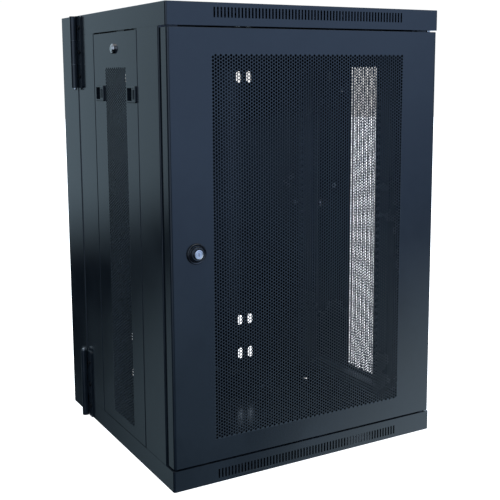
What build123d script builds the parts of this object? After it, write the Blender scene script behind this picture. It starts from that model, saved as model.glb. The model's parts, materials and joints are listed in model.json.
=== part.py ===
"""An 18 unit swing-out wall cabinet for network equipment, as an assembly of separate pieces.

Units are millimetres. The origin is the middle of the base, +Z is up, the door faces -Y, the wall plate
faces +Y and +X is to the right of someone facing the door. The wall section stays on the wall, the main
section swings away from it on the two hinges at the left, and the door turns on pins at the right.
"""

from build123d import *

import os

# Overall sizes
WIDTH = 600.0
DEPTH = 550.0
HEIGHT = 880.0
CAP_HEIGHT = 40.0
SHEET = 1.5
BEND = 2.5

# Where the main faces stand
FRONT = -DEPTH / 2
BACK = DEPTH / 2
HALF = WIDTH / 2
SEAM = 175.0
SEAM_HALF_GAP = 2.0
BODY_BACK = SEAM - SEAM_HALF_GAP
WALL_FRONT = SEAM + SEAM_HALF_GAP
BAY_BOTTOM = CAP_HEIGHT
BAY_TOP = HEIGHT - CAP_HEIGHT
MID_HEIGHT = HEIGHT / 2

# Corner posts
POST_FRONT = -243.0
PANEL_FRONT = -148.0
PANEL_BACK = 77.0
POST_FLANGE_X = 262.0
LANDING_X = 286.0
FRONT_LANDING_END = -104.0
REAR_LANDING_END = 45.0
POST_LIP = 12.0
SHADOW_GAP = 0.8

# Caps
CAP_LIP = 30.0
CAP_FRONT_LIP = FRONT + 34.0
CAP_CORNER = 4.0
CAP_EDGE = 1.2
VENT_COUNT = 60
VENT_PITCH = 7.0
VENT_WIDTH = 3.4
VENT_HEIGHT = 18.0
VENT_FROM_EDGE = 8.0
FAN_X = 130.0
FAN_Y = -60.0
FAN_RADIUS = 57.0
FAN_PLATE = 119.0
FAN_SCREW_SPACING = 105.0
CABLE_WIDTH = 240.0
CABLE_DEPTH = 60.0
CABLE_Y = 110.0
CABLE_PLATE_MARGIN = 14.0
CABLE_SCREW_OFFSET = 20.0
COVER_CORNER = 5.0
CATCH_HALF_LENGTH = 20.0
CATCH_DROP = 14.0
CASTER_X = 250.0
CASTER_FRONT = -235.0
CASTER_BACK = 125.0
CASTER_RADIUS = 5.25

# Wall section
BACK_PLATE = 2.0
WALL_LIP = 30.0
SLOT_X = (-146.0, -117.0, 146.0, 175.0)
SLOT_Z = (42.0, 131.0)
SLOT_WIDTH = 14.0
SLOT_LENGTH = 28.0
WALL_CABLE_WIDTH = 200.0
WALL_CABLE_DEPTH = 60.0
WALL_CABLE_Y = 226.0
WALL_CABLE_CORNER = 8.0

# Swing hinges
HINGE_X = -308.0
KNUCKLE_RADIUS = 7.5
KNUCKLE = 50.0
HINGE_HEIGHT = 3 * KNUCKLE
KNUCKLE_GAP = 0.5
LEAF = 3.0
LEAF_LENGTH = 30.0
LEAF_NOTCH = 8.1
PIN_RADIUS = 4.0
PIN_CLEARANCE = 0.05
PIN_TIP = 4.0
HINGE_INSET = 1.0
LEAF_SCREW_OFFSET = 20.0

# Door
DOOR_HALF = 298.0
DOOR_BACK = -249.0
DOOR_GAP = 3.0
DOOR_EDGE = 5.0
DOOR_BOTTOM = BAY_BOTTOM + DOOR_GAP
DOOR_TOP = BAY_TOP - DOOR_GAP
DOOR_LIP = 14.0
MESH_HALF = 213.5
MESH_BOTTOM = 85.0
MESH_TOP = 792.0
DOOR_PIN_X = 286.0
DOOR_PIN_Y = -262.0
DOOR_PIN_RADIUS = 4.0
DOOR_COLLAR_RADIUS = 7.0
DOOR_PIN_TAIL = 30.0
DOOR_PIN_TAIL_DROP = 22.0
GUIDE_Z = 800.0
STIFFENER_X = 216.0
STIFFENER_WIDTH = 16.0
STIFFENER_DEPTH = 14.0

# Side panels
PANEL_GAP = 1.0
PANEL_DEPTH = 13.5
PANEL_BOTTOM = 41.5
PANEL_TOP = 837.0
STRIP_FRONT = -93.0
STRIP_BACK = 14.0
STRIP_BOTTOM = 62.0
STRIP_TOP = 771.0
PANEL_TAB_YS = (-85.0, -35.0, 25.0)
PANEL_TAB_HALF_LENGTH = 10.0
PANEL_TAB_RISE = 4.0
PANEL_LOCK_Y = -35.0
PANEL_LOCK_Z = 806.0

# Slide latches
LATCH_Z = 720.0
REAR_LATCH_Y = 41.0
FRONT_LATCH_Y = -123.0
LATCH_LENGTH = 42.0
LATCH_HEIGHT = 31.0
LATCH_PROUD = 3.6
LATCH_BOX_HALF_LENGTH = 19.0
LATCH_BOX_HALF_HEIGHT = 13.5
LATCH_BOX_DEPTH = 9.5
LATCH_BOX_GAP = 0.2
LATCH_STEM_HALF_HEIGHT = 5.0
LATCH_PAD_HALF = 11.6
LATCH_RIBS = 3
LATCH_RIB_PITCH = 3.4
LATCH_RIB_HALF = 9.0

# Rack rails and their brackets
RAIL_SHEET = 2.0
RAIL_INNER = 225.0
RAIL_OUTER = 262.0
RAIL_HOLE_X = 232.55
RAIL_DEPTH = 27.0
RAIL_FRONT_Y = -177.0
RAIL_REAR_Y = 120.0
UNIT = 44.45
UNITS = 18
UNIT_HOLES = (6.35, 22.225, 38.1)
SQUARE = 9.5
BRACKET_HEIGHT = 20.0
BRACKET_OUTER = 280.0
BRACKET_FRONT = -241.5
BRACKET_BACK = 160.0
BRACKET_SCREW_X = -275.0
BRACKET_SCREW_YS = (-225.0, -60.0, 145.0)
RAIL_BOLT_SETBACK = 15.0
RAIL_BOLT_RADIUS = 3.0
RAIL_BOLT_HOLE = 3.3
RAIL_HEAD_RADIUS = 5.5
RAIL_NUT_RADIUS = 5.6
RAIL_NUT = 5.0
RAIL_ADJUSTMENT = 30.0
PANEL_TAB_TIP = -RAIL_OUTER - 8

# Locks
DOOR_LOCK_X = -248.0
DOOR_LOCK_Z = MID_HEIGHT
SWING_LOCK_Y = 140.0
SWING_LOCK_Z = MID_HEIGHT
STUD_Y = 186.0
STUD_RADIUS = 4.0
CAM_LENGTH = 27.0
CAM_WIDTH = 14.0
CAM_SHEET = 2.0
LOCK_HOLE_RADIUS = 9.6
LOCK_BODY_RADIUS = 9.4
LOCK_NUT_RADIUS = 13.5
LOCK_NUT = 4.0
PLUG_RADIUS = 6.5
DOOR_PLUG_RADIUS = 8.5
ROSETTE_RADIUS = 19.0
ROSETTE_PROUD = 4.0
ROSETTE_COLLAR_RADIUS = 13.5
HOOK_CLEARANCE = 0.8

# Small screws
COVER_SCREW_RADIUS = 2.0
COVER_HEAD_RADIUS = 3.6
COVER_HEAD = 2.2
BRACKET_SCREW_RADIUS = 2.5
BRACKET_HEAD_RADIUS = 4.2
BRACKET_HEAD = 2.6
LEAF_SCREW_RADIUS = 2.4
LEAF_HOLE_RADIUS = 2.7
LEAF_HEAD_RADIUS = 4.4
LEAF_HEAD = 2.0
SCREW_CLEARANCE = 0.2

LEFT, RIGHT = -1, 1


def block(x0, x1, y0, y1, z0, z1):
    """A box from its six faces."""
    centre = ((x0 + x1) / 2, (y0 + y1) / 2, (z0 + z1) / 2)
    return Pos(*centre) * Box(abs(x1 - x0), abs(y1 - y0), abs(z1 - z0))


def rod(axis, centre, radius, start, end):
    """A cylinder along one axis, from start to end. centre holds the other two coordinates, in X, Y, Z
    order."""
    length, middle = abs(end - start), (start + end) / 2
    if axis == "x":
        return Pos(middle, *centre) * Rot(0, 90, 0) * Cylinder(radius, length)
    if axis == "y":
        return Pos(centre[0], middle, centre[1]) * Rot(90, 0, 0) * Cylinder(radius, length)
    return Pos(centre[0], centre[1], middle) * Cylinder(radius, length)


def folded(points, z0, z1, sheet=SHEET, bend=BEND):
    """A bent sheet standing upright. points is its outer line in plan, with the metal on the right of it."""
    line = FilletPolyline(*points, radius=bend)
    outline = Wire(line.edges()).offset_2d(sheet, side=Side.RIGHT)
    return Pos(0, 0, z0) * extrude(make_face(outline), amount=z1 - z0)


def mirrored(solid, side):
    """Left-hand pieces are drawn, and right-hand ones are their mirror image."""
    return solid if side == LEFT else mirror(solid, about=Plane.YZ)


def slot_y(x, z, width, length, y0, y1):
    """A cutter for an upright round-ended slot through a plate that faces Y."""
    straight = (length - width) / 2
    cutter = block(x - width / 2, x + width / 2, y0, y1, z - straight, z + straight)
    for end_z in (z + straight, z - straight):
        cutter += rod("y", (x, end_z), width / 2, y0, y1)
    return cutter


def rounded(solid, radius, pick):
    """The solid with the edges that pick chooses rounded."""
    return fillet(solid.edges().filter_by(pick), radius=radius)


def upright_at(x, y, reach=0.6):
    """Chooses the upright edges close to a point in plan."""

    def pick(edge):
        middle = edge @ 0.5
        along = edge % 0.5
        return abs(along.Z) > 0.99 and abs(middle.X - x) < reach and abs(middle.Y - y) < reach

    return pick


def level_at(z, reach=0.1):
    """Chooses the outer edges of a cap that lie in one level plane."""

    def pick(edge):
        start, end, middle = edge @ 0, edge @ 1, edge @ 0.5
        level = all(abs(point.Z - z) < reach for point in (start, end, middle))
        outer = abs(middle.X) > HALF - 3 or middle.Y < FRONT + 3 or middle.Y > BODY_BACK - 3
        return level and outer

    return pick


# Caps ----------------------------------------------------------------------------------------------


def cap(is_top):
    """A tray 40 mm tall: a plate, four skirts with vent slots in the front one, and lips on the open side."""
    low, high = (BAY_TOP, HEIGHT) if is_top else (0.0, CAP_HEIGHT)
    plate_z = high if is_top else low
    tray = block(-HALF, HALF, FRONT, BODY_BACK, low, high)
    for x in (-HALF, HALF):
        tray = rounded(tray, CAP_CORNER, upright_at(x, FRONT))
        tray = rounded(tray, BEND, upright_at(x, BODY_BACK))
    tray = rounded(tray, CAP_EDGE, level_at(plate_z))
    inner = HALF - SHEET
    tray -= block(-inner, inner, FRONT + SHEET, BODY_BACK - SHEET, low + SHEET, high - SHEET)
    lip_low, lip_high = (low - 1, low + SHEET) if is_top else (high - SHEET, high + 1)
    tray -= block(-HALF + CAP_LIP, HALF - CAP_LIP, CAP_FRONT_LIP, BODY_BACK - CAP_LIP, lip_low, lip_high)
    vent_low = high - VENT_FROM_EDGE - VENT_HEIGHT if is_top else low + VENT_FROM_EDGE
    first = -VENT_PITCH * (VENT_COUNT - 1) / 2
    half_vent = VENT_WIDTH / 2
    tray -= [
        block(x - half_vent, x + half_vent, FRONT - 1, FRONT + SHEET + 1, vent_low, vent_low + VENT_HEIGHT)
        for x in (first + VENT_PITCH * i for i in range(VENT_COUNT))
    ]
    pin_hole = DOOR_PIN_RADIUS + PIN_CLEARANCE
    tray -= rod("z", (DOOR_PIN_X, DOOR_PIN_Y), pin_hole, lip_low, lip_high)
    half_width, half_depth = CABLE_WIDTH / 2, CABLE_DEPTH / 2
    plate_low, plate_high = plate_z - 2 * SHEET, plate_z + 2 * SHEET
    cable_y0, cable_y1 = CABLE_Y - half_depth, CABLE_Y + half_depth
    tray -= block(-half_width, half_width, cable_y0, cable_y1, plate_low, plate_high)
    tray -= [
        rod("z", (x, y), COVER_SCREW_RADIUS + SCREW_CLEARANCE, plate_low, plate_high)
        for x, y, on_top in cover_screw_places()
        if on_top == is_top
    ]
    bracket_hole = BRACKET_SCREW_RADIUS + SCREW_CLEARANCE
    tray -= [
        mirrored(rod("z", (BRACKET_SCREW_X, y), bracket_hole, lip_low, lip_high), side)
        for side in (LEFT, RIGHT)
        for y in BRACKET_SCREW_YS
    ]
    if is_top:
        for x in (-FAN_X, FAN_X):
            tray -= rod("z", (x, FAN_Y), FAN_RADIUS, plate_low, plate_high)
        tray += [lock_catch(side) for side in (LEFT, RIGHT)]
    else:
        for x in (-CASTER_X, CASTER_X):
            for y in (CASTER_FRONT, CASTER_BACK):
                tray -= rod("z", (x, y), CASTER_RADIUS, plate_low, plate_high)
    return tray


def lock_catch(side):
    """The tab that hangs from the top cap's side lip, for a side panel's lock to turn up behind."""
    y0, y1 = PANEL_LOCK_Y - CATCH_HALF_LENGTH, PANEL_LOCK_Y + CATCH_HALF_LENGTH
    z0, z1 = BAY_TOP - CATCH_DROP, BAY_TOP + SHEET / 2
    return mirrored(block(-LANDING_X, -LANDING_X + SHEET, y0, y1, z0, z1), side)


def cover_plate(x, y, width, depth, is_top):
    """A blanking plate held on the inner face of a cap's plate."""
    z = HEIGHT - 2 * SHEET if is_top else SHEET
    plate = block(x - width / 2, x + width / 2, y - depth / 2, y + depth / 2, z, z + SHEET)
    plate = fillet(plate.edges().filter_by(Axis.Z), radius=COVER_CORNER)
    hole = COVER_SCREW_RADIUS + SCREW_CLEARANCE
    for screw_x, screw_y, on_top in cover_screw_places():
        if on_top == is_top:
            plate -= rod("z", (screw_x, screw_y), hole, z - 1, z + SHEET + 1)
    return plate


def cover_screw_places():
    """Centres of the screws that hold the cover plates, with True for the top cap."""
    places = []
    fan = FAN_SCREW_SPACING / 2
    for x in (-FAN_X, FAN_X):
        places += [(x + i * fan, FAN_Y + j * fan, True) for i in (-1, 1) for j in (-1, 1)]
    across = CABLE_WIDTH / 2 + CABLE_PLATE_MARGIN / 2
    for is_top in (True, False):
        places += [(i * across, CABLE_Y + j * CABLE_SCREW_OFFSET, is_top) for i in (-1, 1) for j in (-1, 1)]
    return places


def cover_screw(x, y, is_top):
    """A pan-head screw inside the cap, its end just short of the outer face."""
    face = HEIGHT - 2 * SHEET if is_top else 2 * SHEET
    inward = -1 if is_top else 1
    head = rod("z", (x, y), COVER_HEAD_RADIUS, face, face + inward * COVER_HEAD)
    return head + rod("z", (x, y), COVER_SCREW_RADIUS, face, face - inward * (2 * SHEET - 0.3))


# Posts ---------------------------------------------------------------------------------------------


def shadow_grooves(post, y0, y1):
    """The post with a fine groove where its skin meets each cap."""
    for z0, z1 in ((BAY_BOTTOM, BAY_BOTTOM + SHADOW_GAP), (BAY_TOP - SHADOW_GAP, BAY_TOP)):
        post -= block(-HALF - 1, -HALF + SHEET - 0.5, y0, y1, z0, z1)
    return post


def front_post(side):
    """A folded post: door face, side skin and the landing that a side panel lies against."""
    post = folded(
        [
            (-POST_FLANGE_X, POST_FRONT),
            (-HALF, POST_FRONT),
            (-HALF, PANEL_FRONT),
            (-LANDING_X, PANEL_FRONT),
            (-LANDING_X, FRONT_LANDING_END),
        ],
        BAY_BOTTOM,
        BAY_TOP,
    )
    window_y0, window_y1 = FRONT_LATCH_Y - 16, FRONT_LATCH_Y + 4.5
    window_z0, window_z1 = LATCH_Z - 6.5, LATCH_Z + 6.5
    post -= block(-LANDING_X - 1, -LANDING_X + SHEET + 1, window_y0, window_y1, window_z0, window_z1)
    return mirrored(shadow_grooves(post, POST_FRONT - 1, PANEL_FRONT + 1), side)


def rear_post(side):
    """A folded post: landing for the side panel, side skin, rear face and a stiffening lip."""
    post = folded(
        [
            (-LANDING_X, REAR_LANDING_END),
            (-LANDING_X, PANEL_BACK),
            (-HALF, PANEL_BACK),
            (-HALF, BODY_BACK),
            (-POST_FLANGE_X, BODY_BACK),
            (-POST_FLANGE_X, BODY_BACK - POST_LIP),
        ],
        BAY_BOTTOM,
        BAY_TOP,
    )
    post = shadow_grooves(post, PANEL_BACK - 1, BODY_BACK + 1)
    if side == RIGHT:
        post -= rod("x", (SWING_LOCK_Y, SWING_LOCK_Z), LOCK_HOLE_RADIUS, -HALF - 1, -HALF + SHEET + 1)
    return mirrored(post, side)


# Rails and brackets --------------------------------------------------------------------------------


def rack_rail(side, is_front):
    """An angle with 54 square holes on the standard rack spacing, its holed face at the outer side."""
    face_y, inward = (RAIL_FRONT_Y, 1) if is_front else (RAIL_REAR_Y, -1)
    y_face_end = face_y + inward * RAIL_SHEET
    y_web_end = face_y + inward * RAIL_DEPTH
    z0, z1 = BAY_BOTTOM + 0.5, BAY_TOP - 0.5
    rail = block(-RAIL_OUTER, -RAIL_INNER, face_y, y_face_end, z0, z1)
    rail += block(-RAIL_OUTER, -RAIL_OUTER + RAIL_SHEET, face_y, y_web_end, z0, z1)
    rail = rounded(rail, BEND, upright_at(-RAIL_OUTER, face_y))
    half = SQUARE / 2
    holes = [
        block(-RAIL_HOLE_X - half, -RAIL_HOLE_X + half, face_y - 5, face_y + 5, z - half, z + half)
        for z in (BAY_BOTTOM + unit * UNIT + hole for unit in range(UNITS) for hole in UNIT_HOLES)
    ]
    rail -= holes
    for z in bracket_middles():
        place = (rail_bolt_y(is_front), z)
        rail -= rod("x", place, RAIL_BOLT_HOLE, -RAIL_OUTER - 1, -RAIL_OUTER + RAIL_SHEET + 1)
    return mirrored(rail, side)


def rail_bolt_y(is_front):
    """Where a rail is bolted to its brackets, along the depth."""
    return RAIL_FRONT_Y + RAIL_BOLT_SETBACK if is_front else RAIL_REAR_Y - RAIL_BOLT_SETBACK


def bracket_middles():
    """Heights of the lower and upper bracket's middle."""
    return (BAY_BOTTOM + BRACKET_HEIGHT / 2, BAY_TOP - BRACKET_HEIGHT / 2)


def depth_bracket(side, is_top):
    """A channel from the front post to the rear one, open outwards, slotted so that the rails can move."""
    z0 = BAY_TOP - BRACKET_HEIGHT if is_top else BAY_BOTTOM
    z1 = z0 + BRACKET_HEIGHT
    inner, outer = -RAIL_OUTER, -BRACKET_OUTER
    channel = block(outer, inner, BRACKET_FRONT, BRACKET_BACK, z0, z1)
    ends = (BRACKET_FRONT - 1, BRACKET_BACK + 1)
    channel -= block(outer - 1, inner - RAIL_SHEET, *ends, z0 + RAIL_SHEET, z1 - RAIL_SHEET)
    middle = (z0 + z1) / 2
    for is_front in (True, False):
        y = rail_bolt_y(is_front)
        y0, y1 = y - RAIL_ADJUSTMENT, y + RAIL_ADJUSTMENT
        channel -= block(inner - 5, inner + 5, y0, y1, middle - RAIL_BOLT_HOLE, middle + RAIL_BOLT_HOLE)
        for end_y in (y0, y1):
            channel -= rod("x", (end_y, middle), RAIL_BOLT_HOLE, inner - 5, inner + 5)
    for y in BRACKET_SCREW_YS:
        channel -= rod("z", (BRACKET_SCREW_X, y), BRACKET_SCREW_RADIUS + SCREW_CLEARANCE, z0 - 1, z1 + 1)
    return mirrored(channel, side)


def bracket_screw(side, y, is_top):
    """A screw through a bracket's outer flange and the cap's lip."""
    face = BAY_TOP if is_top else BAY_BOTTOM
    outward = 1 if is_top else -1
    place = (BRACKET_SCREW_X, y)
    head_face = face - outward * RAIL_SHEET
    head = rod("z", place, BRACKET_HEAD_RADIUS, head_face, head_face - outward * BRACKET_HEAD)
    return mirrored(head + rod("z", place, BRACKET_SCREW_RADIUS, head_face, face + outward * 5), side)


def rail_bolt(side, is_front, z):
    """A bolt and its nut, through a rail's web and a bracket's web."""
    place = (rail_bolt_y(is_front), z)
    web_inner = -RAIL_OUTER + RAIL_SHEET
    web_outer = -RAIL_OUTER - RAIL_SHEET
    bolt = rod("x", place, RAIL_HEAD_RADIUS, web_inner, web_inner + 3.2)
    bolt += rod("x", place, RAIL_BOLT_RADIUS, web_inner, web_outer - 7)
    nut = extrude(RegularPolygon(RAIL_NUT_RADIUS, 6), amount=RAIL_NUT / 2, both=True)
    return mirrored(bolt + Pos(web_outer - RAIL_NUT / 2, *place) * Rot(0, 90, 0) * nut, side)


# Wall section --------------------------------------------------------------------------------------


def wall_back_plate():
    """The plate that lies on the wall, with rows of paired upright slots for the wall bolts."""
    inner = HALF - SHEET
    plate = block(-inner, inner, BACK - BACK_PLATE, BACK, SHEET, HEIGHT - SHEET)
    for x in SLOT_X:
        for z in SLOT_Z:
            for place in ((x, z), (x, HEIGHT - z)):
                plate -= slot_y(*place, SLOT_WIDTH, SLOT_LENGTH, BACK - 5, BACK + 5)
    return plate


def wall_side(side):
    """An upright side of the wall section, with a lip along its front edge."""
    web = folded([(-HALF + WALL_LIP, WALL_FRONT), (-HALF, WALL_FRONT), (-HALF, BACK)], 0, HEIGHT)
    for z0, z1 in ((-1, SHEET), (HEIGHT - SHEET, HEIGHT + 1)):
        web -= block(-HALF + SHEET, -HALF + WALL_LIP + 1, WALL_FRONT - 1, WALL_FRONT + 4, z0, z1)
    web = rounded(web, 1.0, upright_at(-HALF, BACK))
    return mirrored(web, side)


def wall_end(is_top):
    """The top or bottom of the wall section, with a cable opening and a lip along its front edge."""
    z0, z1 = (HEIGHT - SHEET, HEIGHT) if is_top else (0.0, SHEET)
    inner = HALF - SHEET
    end = block(-inner, inner, WALL_FRONT, BACK - BACK_PLATE, z0, z1)
    lip_z0, lip_z1 = (HEIGHT - WALL_LIP, HEIGHT) if is_top else (0.0, WALL_LIP)
    across = HALF - WALL_LIP
    end += block(-across, across, WALL_FRONT, WALL_FRONT + SHEET, lip_z0, lip_z1)
    end += block(-inner, inner, BACK - BACK_PLATE, BACK, z0, z1)
    half_width, half_depth = WALL_CABLE_WIDTH / 2, WALL_CABLE_DEPTH / 2
    y0, y1 = WALL_CABLE_Y - half_depth, WALL_CABLE_Y + half_depth
    opening = block(-half_width, half_width, y0, y1, z0 - 5, z1 + 5)
    return end - fillet(opening.edges().filter_by(Axis.Z), radius=WALL_CABLE_CORNER)


# Swing hinges --------------------------------------------------------------------------------------


def hinge_base(is_top):
    """The height of a hinge's lower end."""
    return HEIGHT - HINGE_INSET - HINGE_HEIGHT if is_top else HINGE_INSET


def hinge_leaf(is_top, on_wall):
    """A leaf with its knuckles: the wall leaf has the outer two and the body leaf the middle one."""
    base = hinge_base(is_top)
    outward = 1 if on_wall else -1
    face_end = SEAM + outward * LEAF_LENGTH
    notch = SEAM + outward * LEAF_NOTCH
    near = SEAM + outward * (SEAM_HALF_GAP + 0.2)
    leaf = block(-HALF - LEAF, -HALF, notch, face_end, base, base + HINGE_HEIGHT)
    for corner_z in (base, base + HINGE_HEIGHT):
        picked = [
            edge
            for edge in leaf.edges().filter_by(Axis.X)
            if abs((edge @ 0.5).Y - face_end) < 0.1 and abs((edge @ 0.5).Z - corner_z) < 0.1
        ]
        leaf = fillet(picked, radius=5)
    for index in (0, 2) if on_wall else (1,):
        z0 = base + index * KNUCKLE + KNUCKLE_GAP / 2
        z1 = z0 + KNUCKLE - KNUCKLE_GAP
        knuckle = rod("z", (HINGE_X, SEAM), KNUCKLE_RADIUS, z0, z1)
        knuckle += block(-HALF - LEAF, -HALF, near, notch, z0, z1)
        knuckle += block(-HALF - LEAF - 3, -HALF - LEAF, near, SEAM + outward * 5, z0, z1)
        leaf += knuckle
    leaf -= rod("z", (HINGE_X, SEAM), PIN_RADIUS + PIN_CLEARANCE, base - 1, base + HINGE_HEIGHT + 1)
    for z in leaf_screw_zs(is_top):
        leaf -= rod("x", (leaf_screw_y(on_wall), z), LEAF_HOLE_RADIUS, -HALF - LEAF - 1, -HALF + 1)
    return leaf


def leaf_screw_y(on_wall):
    """Where a leaf's screws stand along the depth."""
    return SEAM + (LEAF_SCREW_OFFSET if on_wall else -LEAF_SCREW_OFFSET)


def leaf_screw_zs(is_top):
    """Heights of a leaf's three screws."""
    return [hinge_base(is_top) + KNUCKLE * (i + 0.5) for i in range(3)]


def leaf_screw(is_top, on_wall, z):
    """A low round-head screw that holds a leaf on the side skin."""
    place = (leaf_screw_y(on_wall), z)
    head = rod("x", place, LEAF_HEAD_RADIUS, -HALF - LEAF - LEAF_HEAD, -HALF - LEAF)
    head = fillet(head.edges().group_by(Axis.X)[0], radius=1.2)
    return head + rod("x", place, LEAF_SCREW_RADIUS, -HALF - LEAF, -HALF)


def hinge_pin(is_top):
    """The pin through a hinge's knuckles, with its bare end showing towards the middle of the cabinet."""
    base = hinge_base(is_top)
    z0, z1 = base + 2, base + HINGE_HEIGHT + PIN_TIP
    if is_top:
        z0, z1 = base - PIN_TIP, base + HINGE_HEIGHT - 2
    pin = rod("z", (HINGE_X, SEAM), PIN_RADIUS, z0, z1)
    bare_end = 0 if is_top else -1
    return chamfer(pin.edges().group_by(Axis.Z)[bare_end], length=1.0)


# Door ----------------------------------------------------------------------------------------------


def door_frame():
    """The door pan: a face with a window for the grille, four returns and a lip along each side."""
    pan = block(-DOOR_HALF, DOOR_HALF, FRONT, DOOR_BACK, DOOR_BOTTOM, DOOR_TOP)
    for x in (-DOOR_HALF, DOOR_HALF):
        pan = rounded(pan, DOOR_EDGE, upright_at(x, FRONT))
        pan = rounded(pan, 1.2, upright_at(x, DOOR_BACK))
    front_edges = [edge for edge in pan.edges().filter_by(Axis.X) if abs((edge @ 0.5).Y - FRONT) < 0.1]
    pan = fillet(front_edges, radius=1.2)
    inner, low, high = DOOR_HALF - SHEET, DOOR_BOTTOM + SHEET, DOOR_TOP - SHEET
    hollow = block(-inner, inner, FRONT + SHEET, DOOR_BACK - SHEET, low, high)
    pan -= fillet(hollow.edges().filter_by(Axis.Z).group_by(Axis.Y)[0], radius=DOOR_EDGE - SHEET)
    open_half = DOOR_HALF - DOOR_LIP
    pan -= block(-open_half, open_half, DOOR_BACK - 3, DOOR_BACK + 1, low, high)
    pan -= block(-MESH_HALF, MESH_HALF, FRONT - 1, FRONT + SHEET + 1, MESH_BOTTOM, MESH_TOP)
    pan += block(DOOR_PIN_X - 10, inner, FRONT + SHEET, DOOR_BACK - SHEET, GUIDE_Z, GUIDE_Z + 2)
    pin_hole = DOOR_PIN_RADIUS + PIN_CLEARANCE
    pan -= rod("z", (DOOR_PIN_X, DOOR_PIN_Y), pin_hole, DOOR_BOTTOM - 5, DOOR_TOP + 5)
    return pan - rod("y", (DOOR_LOCK_X, DOOR_LOCK_Z), LOCK_HOLE_RADIUS, FRONT - 1, FRONT + 5)


def door_grille():
    """The perforated field of the door, as the sheet it is punched in."""
    return block(-MESH_HALF, MESH_HALF, FRONT, FRONT + SHEET, MESH_BOTTOM, MESH_TOP)


def door_stiffener(side):
    """A channel welded behind the door's face, beside the grille."""
    y0, y1 = FRONT + SHEET, FRONT + SHEET + STIFFENER_DEPTH
    z0, z1 = MESH_BOTTOM - 30, MESH_TOP + 20
    x0, x1 = -STIFFENER_X - STIFFENER_WIDTH, -STIFFENER_X
    channel = block(x0, x1, y0, y1, z0, z1)
    return mirrored(channel - block(x0 + SHEET, x1 - SHEET, y0 - 1, y1 - SHEET, z0 - 1, z1 + 1), side)


def lower_door_pin():
    """The fixed pin that the door stands on, with a collar between the door and the bottom cap."""
    place = (DOOR_PIN_X, DOOR_PIN_Y)
    pin = rod("z", place, DOOR_PIN_RADIUS, BAY_BOTTOM - 6, DOOR_BOTTOM + 10)
    pin = chamfer(pin.edges().group_by(Axis.Z)[0], length=1.0)
    pin += rod("z", place, DOOR_COLLAR_RADIUS, BAY_BOTTOM + 0.2, DOOR_BOTTOM)
    return pin + rod("z", place, DOOR_COLLAR_RADIUS, DOOR_BOTTOM + SHEET, DOOR_BOTTOM + SHEET + 4)


def upper_door_pin():
    """The sprung pin that is pulled down by its bent tail to free the door."""
    place = (DOOR_PIN_X, DOOR_PIN_Y)
    tail_z = GUIDE_Z - DOOR_PIN_TAIL_DROP
    pin = rod("z", place, DOOR_PIN_RADIUS, tail_z, BAY_TOP + 5)
    pin = chamfer(pin.edges().group_by(Axis.Z)[-1], length=1.0)
    pin += rod("z", place, 6.5, DOOR_TOP - SHEET - 4, DOOR_TOP - SHEET - 1)
    pin += rod("x", (DOOR_PIN_Y, tail_z), DOOR_PIN_RADIUS, DOOR_PIN_X - DOOR_PIN_TAIL, DOOR_PIN_X)
    return pin + Pos(DOOR_PIN_X, DOOR_PIN_Y, tail_z) * Sphere(DOOR_PIN_RADIUS)


# Locks ---------------------------------------------------------------------------------------------
# Each lock is drawn with its face at the origin looking along -X and is then placed.


def lock_barrel(body_length, flange_radius, flange_proud, bore):
    """A threaded body with a flange outside the skin and a nut inside it."""
    barrel = rod("x", (0, 0), flange_radius, -flange_proud, 0)
    barrel = chamfer(barrel.edges().group_by(Axis.X)[0], length=min(1.5, flange_proud / 2))
    barrel += rod("x", (0, 0), LOCK_BODY_RADIUS, 0, body_length)
    nut = extrude(RegularPolygon(LOCK_NUT_RADIUS, 6), amount=LOCK_NUT / 2, both=True)
    barrel += Pos(SHEET + LOCK_NUT / 2, 0, 0) * Rot(0, 90, 0) * nut
    return barrel - rod("x", (0, 0), bore, -flange_proud - 10, body_length + 1)


def lock_plug(face, end, radius):
    """The turning core, with its key slot, and a square end for the cam."""
    plug = rod("x", (0, 0), radius, face, end)
    plug = chamfer(plug.edges().group_by(Axis.X)[0], length=0.8)
    return plug - block(face - 1, face + 6, -0.9, 0.9, -3.6, 3.6)


def lock_cam(x0, length, direction):
    """A flat cam from the plug's axis, pointing along -Y or -Z."""
    half = CAM_WIDTH / 2
    x1 = x0 + CAM_SHEET
    arm = block(x0, x1, -length, 0, -half, half)
    if direction == "-z":
        arm = block(x0, x1, -half, half, -length, 0)
    return arm + rod("x", (0, 0), half, x0, x1)


PANEL_PLUG_END = HALF - LANDING_X + 2.2
DOOR_CAM_START = POST_FRONT + 2.5 - FRONT
SWING_PLUG_END = HALF - 259.0
HOOK_RADIUS = STUD_Y - SWING_LOCK_Y


def place_panel_lock(solid, side):
    """Puts a lock drawn at the origin into a side panel."""
    return mirrored(Pos(-HALF, PANEL_LOCK_Y, PANEL_LOCK_Z) * solid, side)


def place_door_lock(solid):
    """Turns a lock drawn at the origin to face -Y and puts it into the door."""
    return Pos(DOOR_LOCK_X, FRONT, DOOR_LOCK_Z) * Rot(0, 0, 90) * solid


def place_swing_lock(solid):
    """Mirrors a lock drawn at the origin to face +X and puts it into the right rear post."""
    return Pos(HALF, SWING_LOCK_Y, SWING_LOCK_Z) * mirror(solid, about=Plane.YZ)


def panel_lock_core():
    """The plug and cam of a side panel's lock, riveted together. The cam points forwards when unlocked."""
    return lock_plug(-6.0, PANEL_PLUG_END, PLUG_RADIUS) + lock_cam(PANEL_PLUG_END, CAM_LENGTH, "-y")


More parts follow.
